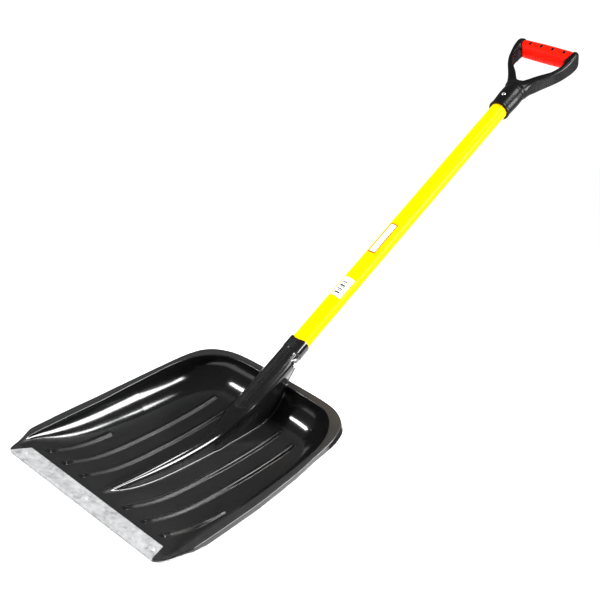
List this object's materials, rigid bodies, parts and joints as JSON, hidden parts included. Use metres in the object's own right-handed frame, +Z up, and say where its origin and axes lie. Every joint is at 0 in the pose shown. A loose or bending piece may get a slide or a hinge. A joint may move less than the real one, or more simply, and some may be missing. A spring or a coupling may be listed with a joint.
{
  "type": "snow shovel",
  "caption": "Snow shovel with a ribbed, wide-mouthed plastic pan, riveted metal wear strip, long straight tube handle and D-shaped hand grip with a coloured sleeve.",
  "frame": {"origin": "middle of the bounding box in X and Y, at the floor the pan stands on", "axes": "+X across the pan to the tool's right seen from the front lip looking up the handle, +Y from the front lip towards the hand grip, +Z up; the pan stands on its front lip and belly and the handle rises at 45 degrees"},
  "size_m": [0.3368, 0.9976, 0.7792],
  "materials": {
    "pan_plastic": "black, fine-grained on the floor and glossy on walls, ribs and lip",
    "strip_metal": "galvanised sheet, satin, faintly mottled",
    "rivet_metal": "satin",
    "tube_lacquer": "glossy saturated yellow",
    "screw_metal": "zinc plated, bright",
    "grip_plastic": "black, satin",
    "sleeve_plastic": "red, satin, slightly soft",
    "label_print": "white film with an orange border, no lettering",
    "label_paper": "white film with plain grey bars"
  },
  "bodies": {
    "root": {"blade_pan": "pan_plastic", "wear_strip": "strip_metal", "strip_rivets": "rivet_metal", "handle_tube": "tube_lacquer", "handle_screws": "screw_metal", "grip_yoke": "grip_plastic", "grip_sleeve": "sleeve_plastic", "product_label": "label_print", "code_label": "label_paper"}
  },
  "joints": []
}
